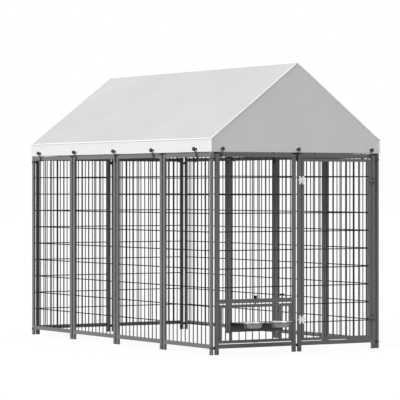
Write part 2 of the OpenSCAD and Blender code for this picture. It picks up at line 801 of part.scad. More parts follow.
// Upright slice along Y of a drawing in the plane of the roof's profile
module slice(y, l) { translate([0, y + l, 0]) rotate([90, 0, 0]) linear_extrude(l) children(); }

// Half of the band between two roof profiles, from a height up to the ridge, on the -X side
module half_band(o1, o2, z0, past) {
    polygon([
        [-roof_x(o1), z0], [-roof_x(o1), roof_eave(o1)], [0, roof_ridge(o1)], [past, roof_ridge(o1)],
        [past, roof_ridge(o2)], [0, roof_ridge(o2)], [-roof_x(o2), roof_eave(o2)], [-roof_x(o2), z0]
    ]);
}

// Spigot block that fits a tube's hollow, along Y from y, in a tube whose lowest corner is x, z
module spigot(x, z, y, l) {
    inset = tube_wall + fit;
    translate([x + inset, y, z + inset]) cube([tube_d - 2 * inset, l, tube_w - 2 * inset]);
}

// Rafter with its leg: a bent tube that stands on a post; k counts from the front
module rafter(k, side) {
    y = hoop_y[k];
    inset = tube_wall + fit;
    leg_x = -half_w;
    stubs = concat(
        k > 0 ? [[y - spigot_l * 3, spigot_l * 3]] : [],
        k < 2 ? [[y + tube_w, spigot_l * 3]] : []);
    whole() mirror([side > 0 ? 1 : 0, 0, 0]) color(graphite) union() {
        difference() {
            slice(y, tube_w) half_band(rafter_o, rafter_in, leg_z, 0);
            slice(y + tube_wall, tube_w - 2 * tube_wall)
                half_band(rafter_o + tube_wall, rafter_in - tube_wall, leg_z + tube_wall, over);
            translate([0, y + tube_w / 2, roof_ridge(bracket_in)]) mirror([1, 0, 0])
                rotate([0, roof_angle, 0]) for (d = roof_bolt_x)
                    translate([d, 0, bracket_t - over])
                        cylinder(d = roof_bolt_d + 2 * fit, h = tube_wall + 2 * over);
        }
        translate([leg_x, y, panel_h]) cube([tube_d, tube_w, leg_base + tube_wall]);
        translate([leg_x + inset, y + inset, panel_h - tongue_l])
            cube([tube_d - 2 * inset, tube_w - 2 * inset, tongue_l + leg_base]);
        for (s = stubs)
            spigot(leg_x, eave_tube_z, s[0] < y ? s[0] : s[0] - tube_wall, s[1] + tube_wall);
    }
}
module rafter_front_left() { rafter(0, -1); }
module rafter_front_right() { rafter(0, 1); }
module rafter_middle_left() { rafter(1, -1); }
module rafter_middle_right() { rafter(1, 1); }
module rafter_rear_left() { rafter(2, -1); }
module rafter_rear_right() { rafter(2, 1); }

// Straight roof tube along Y between rafters k and k + 1
module roof_tube(x, z, k) {
    y0 = hoop_y[k] + tube_w;
    l = hoop_y[k + 1] - y0;
    whole() color(graphite) difference() {
        translate([x, y0, z]) cube([tube_d, l, tube_w]);
        translate([x + tube_wall, y0 - over, z + tube_wall])
            cube([tube_d - 2 * tube_wall, l + 2 * over, tube_w - 2 * tube_wall]);
    }
}
module ridge_tube_front() { roof_tube(-tube_d / 2, ridge_tube_z, 0); }
module ridge_tube_rear() { roof_tube(-tube_d / 2, ridge_tube_z, 1); }
module eave_tube_left_front() { roof_tube(-half_w, eave_tube_z, 0); }
module eave_tube_left_rear() { roof_tube(-half_w, eave_tube_z, 1); }
module eave_tube_right_front() { roof_tube(half_w - tube_d, eave_tube_z, 0); }
module eave_tube_right_rear() { roof_tube(half_w - tube_d, eave_tube_z, 1); }

// Folded brackets under the rafters' meeting ends, with spigots for the ridge tubes
module ridge_brackets() {
    reach = bracket_w * cos(roof_angle);
    hang = tube_d / 2;
    top = roof_ridge(rafter_in);
    under = roof_ridge(bracket_in);
    color(graphite) whole() for (k = [0:2]) {
        y = hoop_y[k];
        y0 = k > 0 ? y - spigot_l * 3 : y;
        y1 = k < 2 ? y + tube_w + spigot_l * 3 : y + tube_w;
        difference() {
            union() {
                slice(y, tube_w) polygon([
                    [0, top], [reach, top - reach * roof_rise], [reach, under - reach * roof_rise],
                    [hang, under - hang * roof_rise], [hang, ridge_tube_z],
                    [-hang, ridge_tube_z], [-hang, under - hang * roof_rise],
                    [-reach, under - reach * roof_rise], [-reach, top - reach * roof_rise]
                ]);
                spigot(-tube_d / 2, ridge_tube_z, y0, y1 - y0);
            }
            for (m = [0, 1])
                translate([0, y + tube_w / 2, roof_ridge(bracket_in)]) mirror([m, 0, 0])
                    rotate([0, roof_angle, 0]) for (d = roof_bolt_x)
                        translate([d, 0, -over])
                            cylinder(d = roof_bolt_d + 2 * fit, h = bracket_t + 2 * over);
        }
    }
}

// Bolts from the ridge brackets into the rafters
module ridge_bolts() {
    head_d = 10;
    head_h = 4;
    color(steel) whole() for (k = [0:2], m = [0, 1], d = roof_bolt_x)
        translate([0, hoop_y[k] + tube_w / 2, roof_ridge(bracket_in)]) mirror([m, 0, 0])
            rotate([0, roof_angle, 0]) translate([d, 0, -head_h]) {
                cylinder(d = head_d, h = head_h);
                cylinder(d = roof_bolt_d, h = head_h + bracket_t + tube_wall + spigot_l);
            }
}

// Tie-down places, each with X pointing outwards from the frame's face and $low the cord's lowest run
module ties() {
    whole() {
        for (side = [0, 180], t = side_ties) {
            $low = t[1];
            translate([side == 0 ? half_w : -half_w, t[0], 0]) rotate(side) children();
        }
        for (side = [-90, 90], t = end_ties) {
            $low = t[1];
            translate([t[0], side < 0 ? -half_l : half_l, 0]) rotate(side) children();
        }
    }
}

// Solid under a roof profile
module gable(o, low) {
    slice(-half_l - rafter_o + o, 2 * (half_l + rafter_o - o)) polygon([
        [-roof_x(o), low], [-roof_x(o), roof_eave(o)], [0, roof_ridge(o)],
        [roof_x(o), roof_eave(o)], [roof_x(o), low]
    ]);
}

// Sewn cover: two slopes, two gables and a skirt, open underneath
module roof_cover() {
    color(sheet_white) difference() {
        whole() difference() {
            gable(0, cover_low);
            gable(cover_t, cover_low - over);
        }
        ties() translate([0, 0, grommet_z]) along_x(grommet_hole + 3, rafter_o + over);
    }
}

// Eyelet rings in the cover's skirt
module grommets() {
    bore = grommet_hole / 2;
    sleeve = bore + 1.5 - fit;
    rim = grommet_d / 2;
    color(zinc) ties() translate([0, 0, grommet_z]) rotate([0, 90, 0]) rotate_extrude() polygon([
        [bore, grommet_in], [rim, grommet_in], [rim, cover_gap], [sleeve, cover_gap], [sleeve, rafter_o],
        [rim, rafter_o], [rim, grommet_out], [bore, grommet_out]
    ]);
}

module bungee_balls() { color(black) ties() translate([ball_u, 0, grommet_z]) sphere(d = ball_d); }

// One straight run of cord from a point of a tie-down's upright plane, in the direction of the angle a
module cord_run(from, a, l) {
    translate([from[0], 0, from[1]]) rotate([0, 90 - a, 0]) cylinder(d = cord_d, h = l);
}

// Quarter bend of cord round a middle point, from the angle a on
module cord_bend(mid, a) {
    translate([mid[0], 0, mid[1]]) rotate([90, 0, 0]) rotate(a)
        rotate_extrude(angle = 90) translate([cord_bend_r, 0]) circle(d = cord_d);
}

// One strand, seen from the middle of its grommet: inwards, down behind the rail, under it by the
// given drop, up outside it to a knot, and slanting out to the ball
module strand(drop) {
    r = cord_bend_r;
    out = ball_u - cord_up;
    cord_run([r - cord_in, 0], 0, ball_u - ball_stop + cord_in - r);
    cord_bend([r - cord_in, -r], 90);
    cord_run([-cord_in, -r], 270, drop - 2 * r);
    cord_bend([r - cord_in, r - drop], 180);
    cord_run([r - cord_in, -drop], 0, cord_up + cord_in - 2 * r);
    cord_bend([cord_up - r, r - drop], 270);
    cord_run([cord_up, r - drop], 90, knot_z + drop - r);
    translate([cord_up, 0, knot_z]) sphere(d = knot_d);
    cord_run([cord_up, knot_z], atan2(-knot_z, out), norm([out, knot_z]) - ball_stop);
}

// Two strands of cord from each ball, through its grommet and round the rail or stud
module bungee_cords() {
    color(black) ties() for (s = [-1, 1])
        translate([0, s * cord_x, grommet_z]) strand(grommet_z - $low);
}

left_panel(0);  // left_panel_1
left_panel(1);  // left_panel_2
left_panel(2);  // left_panel_3
left_panel(3);  // left_panel_4
right_panel(0);  // right_panel_1
right_panel(1);  // right_panel_2
right_panel(2);  // right_panel_3
right_panel(3);  // right_panel_4
rear_panel(0);  // rear_panel_left
rear_panel(1);  // rear_panel_right
feeder_panel();
door_panel_frame();
door_leaf();
post_caps();
foot_plugs();
joint_studs();
corner_bolts();
corner_spacers();
hinge_post_leaves();
hinge_door_leaves();
hinge_pins();
hinge_post_screws();
hinge_door_screws();
latch_housings();
upper_latch_bolt();
lower_latch_bolt();
latch_keepers();
latch_housing_screws();
latch_keeper_screws();
feeder_frame();
feeder_shelf();
feeder_shelf_bolts();
feeder_pivot_bolt();
feeder_pivot_pin();
feeder_thrust_washer();
feeder_lock_sleeve();
feeder_lock_pin();
bowl_left();
bowl_right();
rafter_front_left();
rafter_front_right();
rafter_middle_left();
rafter_middle_right();
rafter_rear_left();
rafter_rear_right();
ridge_tube_front();
ridge_tube_rear();
eave_tube_left_front();
eave_tube_left_rear();
eave_tube_right_front();
eave_tube_right_rear();
ridge_brackets();
ridge_bolts();
roof_cover();
grommets();
bungee_balls();
bungee_cords();
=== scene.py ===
"""Looks of an outdoor dog kennel run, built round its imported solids.

Everything is in metres in the frame of the solids: +Z up, the door end faces -Y, the ground is z = 0.
"""

import json
import logging
import math
from dataclasses import dataclass, field
from enum import Enum
from typing import Any, Optional, Sequence

import bmesh
import bpy
import numpy as np
from mathutils import Matrix, Vector


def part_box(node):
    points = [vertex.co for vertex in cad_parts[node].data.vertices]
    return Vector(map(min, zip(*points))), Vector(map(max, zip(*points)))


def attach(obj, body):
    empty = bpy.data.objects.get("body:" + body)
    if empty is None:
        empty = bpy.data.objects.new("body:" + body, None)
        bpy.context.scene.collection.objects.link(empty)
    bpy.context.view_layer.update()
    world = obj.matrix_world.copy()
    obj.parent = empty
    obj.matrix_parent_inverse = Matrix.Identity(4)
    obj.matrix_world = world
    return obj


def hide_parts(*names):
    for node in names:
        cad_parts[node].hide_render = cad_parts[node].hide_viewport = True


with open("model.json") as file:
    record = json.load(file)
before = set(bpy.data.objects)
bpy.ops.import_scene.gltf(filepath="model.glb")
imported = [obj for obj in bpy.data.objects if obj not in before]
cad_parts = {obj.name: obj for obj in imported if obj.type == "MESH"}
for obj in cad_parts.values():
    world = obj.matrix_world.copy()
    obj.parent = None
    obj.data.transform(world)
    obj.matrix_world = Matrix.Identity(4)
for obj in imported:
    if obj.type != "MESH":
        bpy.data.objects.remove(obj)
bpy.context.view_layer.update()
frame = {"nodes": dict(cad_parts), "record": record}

log = logging.getLogger("kennel")
MM = 0.001
IMAGE_PX = 400
EAVE_Z = 1327 * MM


class Side(Enum):
    """The four sides of the run, each with its outward direction in plan."""

    LEFT = (-1.0, 0.0)
    RIGHT = (1.0, 0.0)
    FRONT = (0.0, -1.0)
    REAR = (0.0, 1.0)


# Materials


def linear(code: str) -> tuple[float, float, float, float]:
    """Turns an sRGB hex colour into linear values.

    Args:
        code: six hex digits with a leading hash.
    Returns:
        Red, green, blue and full alpha.
    """
    parts = np.array([int(code[k:k + 2], 16) for k in (1, 3, 5)]) / 255.0
    values = np.where(parts <= 0.04045, parts / 12.92, ((parts + 0.055) / 1.055) ** 2.4)
    return (*values.tolist(), 1.0)


def add_node(tree: bpy.types.NodeTree, kind: str, links: Optional[dict[str, Any]] = None,
             **settings: Any) -> bpy.types.Node:
    """Adds one shader node.

    Args:
        tree: node tree that gets the node.
        kind: Blender's name for the node's type.
        links: input name to a constant, or to an output socket that feeds it.
        settings: properties of the node itself.
    Returns:
        The new node.
    """
    node = tree.nodes.new(kind)
    for name, value in settings.items():
        setattr(node, name, value)
    for name, value in (links or {}).items():
        socket = node.inputs[int(name)] if name.isdigit() else node.inputs[name]
        if isinstance(value, bpy.types.NodeSocket):
            tree.links.new(value, socket)
        else:
            socket.default_value = value
    return node


def ramp(tree: bpy.types.NodeTree, factor: bpy.types.NodeSocket, low: str, high: str,
         start: float = 0.3, end: float = 0.7) -> bpy.types.NodeSocket:
    """Adds a two-colour ramp over a factor.

    Args:
        tree: node tree that gets the ramp.
        factor: socket with values from 0 to 1.
        low: hex colour at the start.
        high: hex colour at the end.
        start: factor where the low colour ends.
        end: factor where the high colour begins.
    Returns:
        The ramp's colour socket.
    """
    node = add_node(tree, "ShaderNodeValToRGB", {"Fac": factor})
    stops = node.color_ramp.elements
    stops[0].position = start
    stops[0].color = linear(low)
    stops[1].position = end
    stops[1].color = linear(high)
    return node.outputs["Color"]


@dataclass(frozen=True)
class Finish:
    """A real surface: how its colour wanders, how rough it is and what relief it has.

    The colour wanders between two hex values over patches of `patch` metres. Relief is a noise of
    `grain` metres with a height of `depth` metres.
    """

    name: str
    low: str
    high: str
    patch: float
    grain: float
    depth: float
    roughness: tuple[float, float]
    metallic: float = 0.0
    specular: float = 0.5
    anisotropic: float = 0.0

    def build(self) -> bpy.types.Material:
        """Makes the material from the finish's own values.

        Returns:
            The new material.
        """
        material = bpy.data.materials.new(self.name)
        material.use_nodes = True
        tree = material.node_tree
        tree.nodes.clear()
        place = add_node(tree, "ShaderNodeTexCoord").outputs["Object"]
        patches = add_node(tree, "ShaderNodeTexNoise",
                           {"Vector": place, "Scale": 1 / self.patch, "Detail": 3.0, "Roughness": 0.55})
        grain = add_node(tree, "ShaderNodeTexNoise",
                         {"Vector": place, "Scale": 1 / self.grain, "Detail": 2.0, "Roughness": 0.5})
        colour = ramp(tree, patches.outputs["Fac"], self.low, self.high)
        rough = add_node(tree, "ShaderNodeMapRange",
                         {"Value": patches.outputs["Fac"], "From Min": 0.3, "From Max": 0.7,
                          "To Min": self.roughness[0], "To Max": self.roughness[1]})
        relief = add_node(tree, "ShaderNodeBump",
                          {"Height": grain.outputs["Fac"], "Strength": 0.5, "Distance": self.depth})
        shader = add_node(tree, "ShaderNodeBsdfPrincipled", {
            "Base Color": colour, "Roughness": rough.outputs["Result"], "Metallic": self.metallic,
            "Specular IOR Level": self.specular, "Anisotropic": self.anisotropic,
            "Normal": relief.outputs["Normal"]})
        add_node(tree, "ShaderNodeOutputMaterial", {"Surface": shader.outputs["BSDF"]})
        return material


@dataclass(frozen=True)
class WovenFinish:
    """Woven tape sheet with a plastic coating: two crossed sets of tapes read from the piece's UV map.

    The real tapes are about 2 mm wide. They are drawn at `tape` metres, coarse enough to show.
    """

    name: str
    low: str
    high: str
    tape: float
    depth: float
    roughness: float
    stain: float = 0.5
    sheen: float = 0.0
    twist: float = 0.0

    def build(self) -> bpy.types.Material:
        """Makes the woven material; the pattern's UV map is in metres.

        Returns:
            The new material.
        """
        material = bpy.data.materials.new(self.name)
        material.use_nodes = True
        tree = material.node_tree
        tree.nodes.clear()
        place = add_node(tree, "ShaderNodeTexCoord").outputs["UV"]
        laid = add_node(tree, "ShaderNodeMapping",
                        {"Vector": place, "Rotation": (0.0, 0.0, self.twist)}).outputs["Vector"]
        bands = [add_node(tree, "ShaderNodeTexWave",
                          {"Vector": laid, "Scale": 1 / (self.tape * 2 * math.pi), "Distortion": 0.0},
                          wave_type="BANDS", bands_direction=axis) for axis in ("X", "Y")]
        weave = add_node(tree, "ShaderNodeMath",
                         {"0": bands[0].outputs["Fac"], "1": bands[1].outputs["Fac"]}, operation="ADD")
        stains = add_node(tree, "ShaderNodeTexNoise",
                          {"Vector": place, "Scale": 1 / self.stain, "Detail": 4.0, "Roughness": 0.6})
        colour = ramp(tree, stains.outputs["Fac"], self.low, self.high)
        relief = add_node(tree, "ShaderNodeBump",
                          {"Height": weave.outputs["Value"], "Strength": 0.4, "Distance": self.depth})
        shader = add_node(tree, "ShaderNodeBsdfPrincipled", {
            "Base Color": colour, "Roughness": self.roughness, "Sheen Weight": self.sheen,
            "Specular IOR Level": 0.3, "Normal": relief.outputs["Normal"]})
        add_node(tree, "ShaderNodeOutputMaterial", {"Surface": shader.outputs["BSDF"]})
        return material


# Powder coat bakes to a fine orange peel with a soft sheen.
GRAPHITE = Finish("graphite_powder_coat_on_steel", "#666667", "#6f6f70", 0.30, 0.004, 0.0002, (0.42, 0.52))
# The wires carry the same powder coat, drawn darker here as painted shade on the thin round wires.
WIRE_COAT_PAINTED_SHADE = Finish("graphite_powder_coat_on_wire_painted_shade", "#1e1e1f", "#262627", 0.10, 0.003, 0.0001, (0.45, 0.55),
                   specular=0.2)
# The shelf has the same coat, drawn darker all over as painted shade for the shadow under its plate.
SHELF_PAINTED_SHADE = Finish("charcoal_powder_coat_on_sheet_painted_shade", "#303032", "#3a3a3c", 0.20, 0.004, 0.00003, (0.16, 0.24))
# Moulded polypropylene is matt with a faint spark-eroded grain.
BLACK_PLASTIC = Finish("black_moulded_polypropylene", "#121212", "#1a1a1a", 0.05, 0.0015, 0.0001,
                       (0.5, 0.65), specular=0.2)
# The tie-downs' balls are harder and shinier.
BALL_PLASTIC = Finish("black_polished_nylon", "#0f0f0f", "#161616", 0.02, 0.001, 0.00001, (0.12, 0.18),
                      specular=0.8)
# Blackened bolts keep a dull oil sheen.
BOLT_STEEL = Finish("blackened_bolt_steel", "#1b1b1c", "#262627", 0.04, 0.002, 0.0001, (0.4, 0.55), 0.3)
# Bright zinc plate is a clear, slightly cloudy metal.
ZINC = Finish("bright_zinc_plate", "#eceded", "#f7f7f7", 0.02, 0.002, 0.00005, (0.25, 0.4), 0.7)
# On the eyelets the plate has weathered to a white, chalky bloom.
EYELET_ZINC = Finish("chalky_zinc_plate_on_eyelets", "#fafafa", "#ffffff", 0.01, 0.002, 0.00005,
                     (0.45, 0.6), 0.1)
# Spun stainless steel has fine turning lines and a strong shine.
STAINLESS = Finish("spun_stainless_steel", "#e6e7e8", "#f1f1f2", 0.05, 0.0008, 0.00003, (0.28, 0.4), 0.9,
                   anisotropic=0.4)
# The bowls' outsides are drawn in a darker, duller steel than the rims: painted shade below the shelf.
STAINLESS_PAINTED_SHADE = Finish("stainless_steel_painted_shade", "#8c8d8f", "#9c9d9f", 0.03, 0.0015, 0.00005,
                        (0.25, 0.35), 1.0)
# Hot dip galvanised tube shows broad dull spangles.
GALVANISED = Finish("galvanised_roof_tube", "#8f9294", "#a9abad", 0.03, 0.01, 0.0001, (0.4, 0.6), 0.8)
# Coated polyethylene tape fabric: dull, pale, with a faint crossed weave.
COVER_FABRIC = WovenFinish("coated_woven_polyethylene", "#dddedf", "#e2e3e4", 0.006, 0.0003, 0.62)
# On the slopes the same fabric is drawn greyer than on the skirts and gables, as painted shade.
SLOPE_FABRIC_PAINTED_SHADE = WovenFinish("woven_polyethylene_painted_shade", "#bbbcbd", "#c2c3c4", 0.006, 0.0003, 0.7)
# Folded edge tape is the same sheet doubled, drawn whiter than the sheet: real tape with a painted
# highlight along the folds.
EDGE_TAPE_PAINTED_HIGHLIGHT = WovenFinish("woven_edge_tape_painted_highlight", "#eeeeee", "#f6f6f6", 0.003, 0.0003, 0.55)
# Elastic cord has a braided polyester sleeve, laid at a slant.
CORD_BRAID = WovenFinish("black_braided_elastic_cord", "#161616", "#202020", 0.0012, 0.0004, 0.7, 0.05, 0.2,
                         math.radians(45))

SLOT_FINISHES: dict[str, Finish] = {
    "graphite_coating": GRAPHITE,
    "shelf_coating": SHELF_PAINTED_SHADE,
    "black_plastic": BLACK_PLASTIC,
    "dark_bolt_steel": BOLT_STEEL,
    "bright_zinc": ZINC,
    "stainless_steel": STAINLESS,
    "galvanised_tube": GALVANISED,
}

# Solids whose finish differs from the rest of their slot
NODE_FINISHES: dict[str, Finish] = {"grommets": EYELET_ZINC}


# Meshes


def grid_faces(rows: int, columns: int, start: int = 0, closed: bool = False) -> np.ndarray:
    """Quads of a grid whose vertices run row by row.

    Args:
        rows: vertices down the grid.
        columns: vertices across the grid.
        start: number of the grid's first vertex.
        closed: joins the last column to the first.
    Returns:
        One row of four vertex numbers per quad.
    """
    across = np.arange(columns if closed else columns - 1)
    r, c = np.meshgrid(np.arange(rows - 1), across, indexing="ij")
    after = (c + 1) % columns
    here, above = r * columns, (r + 1) * columns
    quads = np.stack([here + c, here + after, above + after, above + c], -1)
    return quads.reshape(-1, 4) + start


def make_piece(name: str, points: np.ndarray, quads: np.ndarray, uv: np.ndarray, finish: bpy.types.Material,
               smooth: bool = True) -> bpy.types.Object:
    """Puts whole arrays into a new mesh object at the origin.

    Args:
        name: name of the piece.
        points: vertices, one per row.
        quads: vertex numbers, four per row.
        uv: place of each vertex on the pattern, in metres.
        finish: material of the piece.
        smooth: shades the faces smoothly.
    Returns:
        The linked object.
    """
    mesh = bpy.data.meshes.new(name)
    mesh.from_pydata(points.reshape(-1, 3), [], quads.tolist())
    layer = mesh.uv_layers.new(name="weave")
    loops = np.empty(len(mesh.loops), dtype=np.int32)
    mesh.loops.foreach_get("vertex_index", loops)
    layer.data.foreach_set("uv", uv.reshape(-1, 2)[loops].astype(np.float32).ravel())
    mesh.polygons.foreach_set("use_smooth", np.full(len(mesh.polygons), smooth))
    mesh.materials.append(finish)
    mesh.update()
    piece = bpy.data.objects.new(name, mesh)
    bpy.context.scene.collection.objects.link(piece)
    return piece


def clean(piece: bpy.types.Object, gap: float) -> None:
    """Merges vertices closer than a gap and turns all faces outwards.

    Args:
        piece: mesh object to clean.
        gap: largest distance between vertices that become one.
    """
    work = bmesh.new()
    work.from_mesh(piece.data)
    bmesh.ops.remove_doubles(work, verts=work.verts, dist=gap)
    bmesh.ops.recalc_face_normals(work, faces=work.faces)
    work.to_mesh(piece.data)
    work.free()


def bake_modifiers(piece: bpy.types.Object) -> None:
    """Replaces a piece's mesh by what its modifiers make of it.

    Args:
        piece: mesh object with modifiers.
    """
    graph = bpy.context.evaluated_depsgraph_get()
    mesh = bpy.data.meshes.new_from_object(piece.evaluated_get(graph))
    piece.modifiers.clear()
    piece.data = mesh


def tube_points(path: np.ndarray, across: np.ndarray, radius: float, sides: int) -> np.ndarray:
    """Circle carried along a path: centre + radius * (cos a * normal + sin a * across).

    Args:
        path: points of the path, one per row.
        across: direction square to the path, the same all along it.
        radius: radius of the tube.
        sides: points round the circle.
    Returns:
        Array of rings by sides by three.
    """
    along = np.gradient(path, axis=0)
    along /= np.linalg.norm(along, axis=1, keepdims=True)
    normal = np.cross(along, across)
    normal /= np.linalg.norm(normal, axis=1, keepdims=True)
    side = np.cross(normal, along)
    angle = np.linspace(0, 2 * math.pi, sides, endpoint=False)
    return (path[:, None] + radius * (np.cos(angle)[None, :, None] * normal[:, None]
                                      + np.sin(angle)[None, :, None] * side[:, None]))


def fill_ends(piece: bpy.types.Object) -> None:
    """Closes every open end of a piece and turns its faces outwards.

    Args:
        piece: mesh object made of open tubes.
    """
    work = bmesh.new()
    work.from_mesh(piece.data)
    most_sides = 64
    bmesh.ops.holes_fill(work, edges=[e for e in work.edges if e.is_boundary], sides=most_sides)
    bmesh.ops.recalc_face_normals(work, faces=work.faces)
    work.to_mesh(piece.data)
    work.free()


def turned(out: np.ndarray, reach: np.ndarray, sides: int) -> np.ndarray:
    """Turns a profile about the axis that points outwards.

    Args:
        out: distances along the axis.
        reach: radius at each of them.
        sides: points round the axis.
    Returns:
        Points as outwards, along and up, in rings.
    """
    angle = np.linspace(0, 2 * math.pi, sides, endpoint=False)
    shape = np.empty((len(out), sides, 3))
    shape[..., 0] = out[:, None]
    shape[..., 1] = reach[:, None] * np.cos(angle)
    shape[..., 2] = reach[:, None] * np.sin(angle)
    return shape


# Soft pieces and bowls


@dataclass
class Tie:
    """One tie-down: its side, its place along that side and the height of its lowest run of cord."""

    side: Side
    along: float
    low: float

    def place(self, points: np.ndarray, face: "Plan") -> np.ndarray:
        """Moves points from the tie's frame (outwards, along, up) into the run's frame.

        Args:
            points: array whose last axis is outwards, along and up.
            face: plan of the run's outer faces.
        Returns:
            Points of the same shape in the run's frame.
        """
        ox, oy = self.side.value
        out, along, up = points[..., 0], points[..., 1], points[..., 2]
        foot = face.foot(self)
        return np.stack([foot[0] + ox * out - oy * along, foot[1] + oy * out + ox * along, up], -1)


@dataclass
class Plan:
    """Outer faces of the run's frame in plan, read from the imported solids."""

    half_width: float
    front: float
    rear: float

    @classmethod
    def read(cls) -> "Plan":
        """Reads the plan from the corner panels' boxes.

        Returns:
            The plan of the run.
        """
        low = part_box("left_panel_1")[0]
        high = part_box("right_panel_4")[1]
        return cls(half_width=-low[0], front=low[1], rear=high[1])

    def foot(self, tie: Tie) -> tuple[float, float]:
        """Point of the outer face at a tie-down.

        Args:
            tie: the tie-down.
        Returns:
            Its place in X and Y.
        """
        ox, oy = tie.side.value
        if ox:
            return ox * self.half_width, tie.along
        return tie.along, self.front if oy < 0 else self.rear


@dataclass
class RoofCover:
    """Sewn cover over the roof frame: two slopes, two gables and a hemmed skirt in one sheet."""

    low: float
    eave: float
    ridge: float
    half_width: float
    front: float
    rear: float
    rafter_lines: tuple[float, float, float]
    thickness: float = 1.2 * MM
    hem: float = 41 * MM
    hem_step: float = 0.5 * MM
    sag: float = 3.0 * MM
    hole: float = 20 * MM
    piping: float = 4.6 * MM
    painted_shade_rise: float = 0.3
    slope_steps: int = 28
    long_steps: int = 140
    rows: np.ndarray = field(init=False)

    def __post_init__(self) -> None:
        """Lists the skirt's rows: even steps up to the hem line, a close pair on it, then to the eave."""
        line = self.low + self.hem
        pair = 0.6 * MM
        lower = np.linspace(self.low, line - pair, 9)
        self.rows = np.concatenate([lower, [line + pair], np.linspace(line + pair, self.eave, 7)[1:]])

    def profile(self) -> np.ndarray:
        """Outline of the cover across the run, from the left skirt's hem over the ridge to the right one's.

        Returns:
            Points as X and Z, one per row.
        """
        slope = np.linspace(0, 1, self.slope_steps + 1)[1:]
        left = np.concatenate([
            np.stack([np.full(len(self.rows), -self.half_width), self.rows], -1),
            np.stack([-self.half_width * (1 - slope), self.eave + (self.ridge - self.eave) * slope], -1)])
        right = left[-2::-1] * np.array([-1, 1])
        return np.concatenate([left, right])

    def long_sheet(self) -> tuple[np.ndarray, np.ndarray]:
        """Slopes and long skirts: the outline carried along Y.

        The slopes sink by sag * sin(pi s)^2 * sin(pi t), with s from rafter to rafter and t from eave to
        ridge.

        Returns:
            Points, profile by length by three, and their places on the weave.
        """
        outline = self.profile()
        y = np.linspace(self.front, self.rear, self.long_steps + 1)
        points = np.empty((len(outline), len(y), 3))
        points[..., 0] = outline[:, None, 0]
        points[..., 1] = y
        points[..., 2] = outline[:, None, 1]
        t = np.clip((outline[:, 1] - self.eave) / (self.ridge - self.eave), 0, 1)
        bay = np.searchsorted(self.rafter_lines, y).clip(1, 2)
        lines = np.array(self.rafter_lines)
        s = np.clip((y - lines[bay - 1]) / (lines[bay] - lines[bay - 1]), 0, 1)
        sink = self.sag * np.sin(math.pi * t)[:, None] * np.sin(math.pi * s)[None, :] ** 2
        rise = (self.ridge - self.eave) / self.half_width
        tilt = np.array([rise, 1.0]) / math.hypot(rise, 1.0)
        points[..., 0] += np.sign(-outline[:, None, 0]) * tilt[0] * sink
        points[..., 2] -= tilt[1] * sink
        run = np.concatenate([[0], np.cumsum(np.linalg.norm(np.diff(outline, axis=0), axis=1))])
        uv = np.stack(np.broadcast_arrays(y[None, :], run[:, None]), -1)
        return points, uv

    def gable(self, y: float) -> tuple[np.ndarray, np.ndarray]:
        """One gable with its skirt: columns from the hem up to the roof line.

        Args:
            y: place of the gable.
        Returns:
            Points, rows by columns by three, and their places on the weave.
        """
        outline = self.profile()
        top = outline[len(self.rows) - 1:len(outline) - len(self.rows) + 1]
        kept = np.searchsorted(self.rows, self.low + self.hem)
        base = self.rows[kept]
        upper = (self.rows[kept:] - base) / (self.eave - base)
        z = np.concatenate([
            np.broadcast_to(self.rows[:kept, None], (kept, len(top))),
            base + upper[:, None] * (top[None, :, 1] - base)])
        x = np.broadcast_to(top[None, :, 0], z.shape)
        points = np.stack([x, np.full(z.shape, y), z], -1)
        return points, np.stack([x, z], -1)

    def build(self, ties: Sequence[Tie], plan: Plan, height: float) -> bpy.types.Object:
        """Makes the sheet, gives it its thickness and cuts its eyelet holes.

        Args:
            ties: tie-downs whose eyelets pierce the skirt.
            plan: outer faces of the run's frame.
            height: height of the eyelets.
        Returns:
            The finished sheet.
        """
        parts = [self.long_sheet(), self.gable(self.front), self.gable(self.rear)]
        quads = []
        start = 0
        for points, _ in parts:
            quads.append(grid_faces(points.shape[0], points.shape[1], start))
            start += points.shape[0] * points.shape[1]
        points = np.concatenate([p.reshape(-1, 3) for p, _ in parts])
        uv = np.concatenate([u.reshape(-1, 2) for _, u in parts])
        sheet = make_piece("roof_cover_sheet", points, np.concatenate(quads), uv, COVER_FABRIC.build(),
                           smooth=False)
        clean(sheet, 0.05 * MM)
        self.shade_slopes(sheet)
        self.step_hem(sheet)
        wall = sheet.modifiers.new("thickness", "SOLIDIFY")
        wall.thickness = self.thickness
        wall.offset = -1.0
        cutter = self.eyelet_cutter(ties, plan, height)
        cut = sheet.modifiers.new("eyelets", "BOOLEAN")
        cut.operation = "DIFFERENCE"
        cut.object = cutter
        cut.solver = "EXACT"
        bake_modifiers(sheet)
        bpy.data.objects.remove(cutter)
        return sheet

    def shade_slopes(self, sheet: bpy.types.Object) -> None:
        """Gives every face whose normal's upward part passes the slopes' rise limit the greyer fabric, as
        painted shade.

        Args:
            sheet: the welded sheet, before it has a thickness.
        """
        sheet.data.materials.append(SLOPE_FABRIC_PAINTED_SHADE.build())
        normals = np.empty(len(sheet.data.polygons) * 3)
        sheet.data.polygons.foreach_get("normal", normals)
        upwards = np.abs(normals.reshape(-1, 3)[:, 2]) > self.painted_shade_rise
        sheet.data.polygons.foreach_set("material_index", upwards.astype(np.int32))

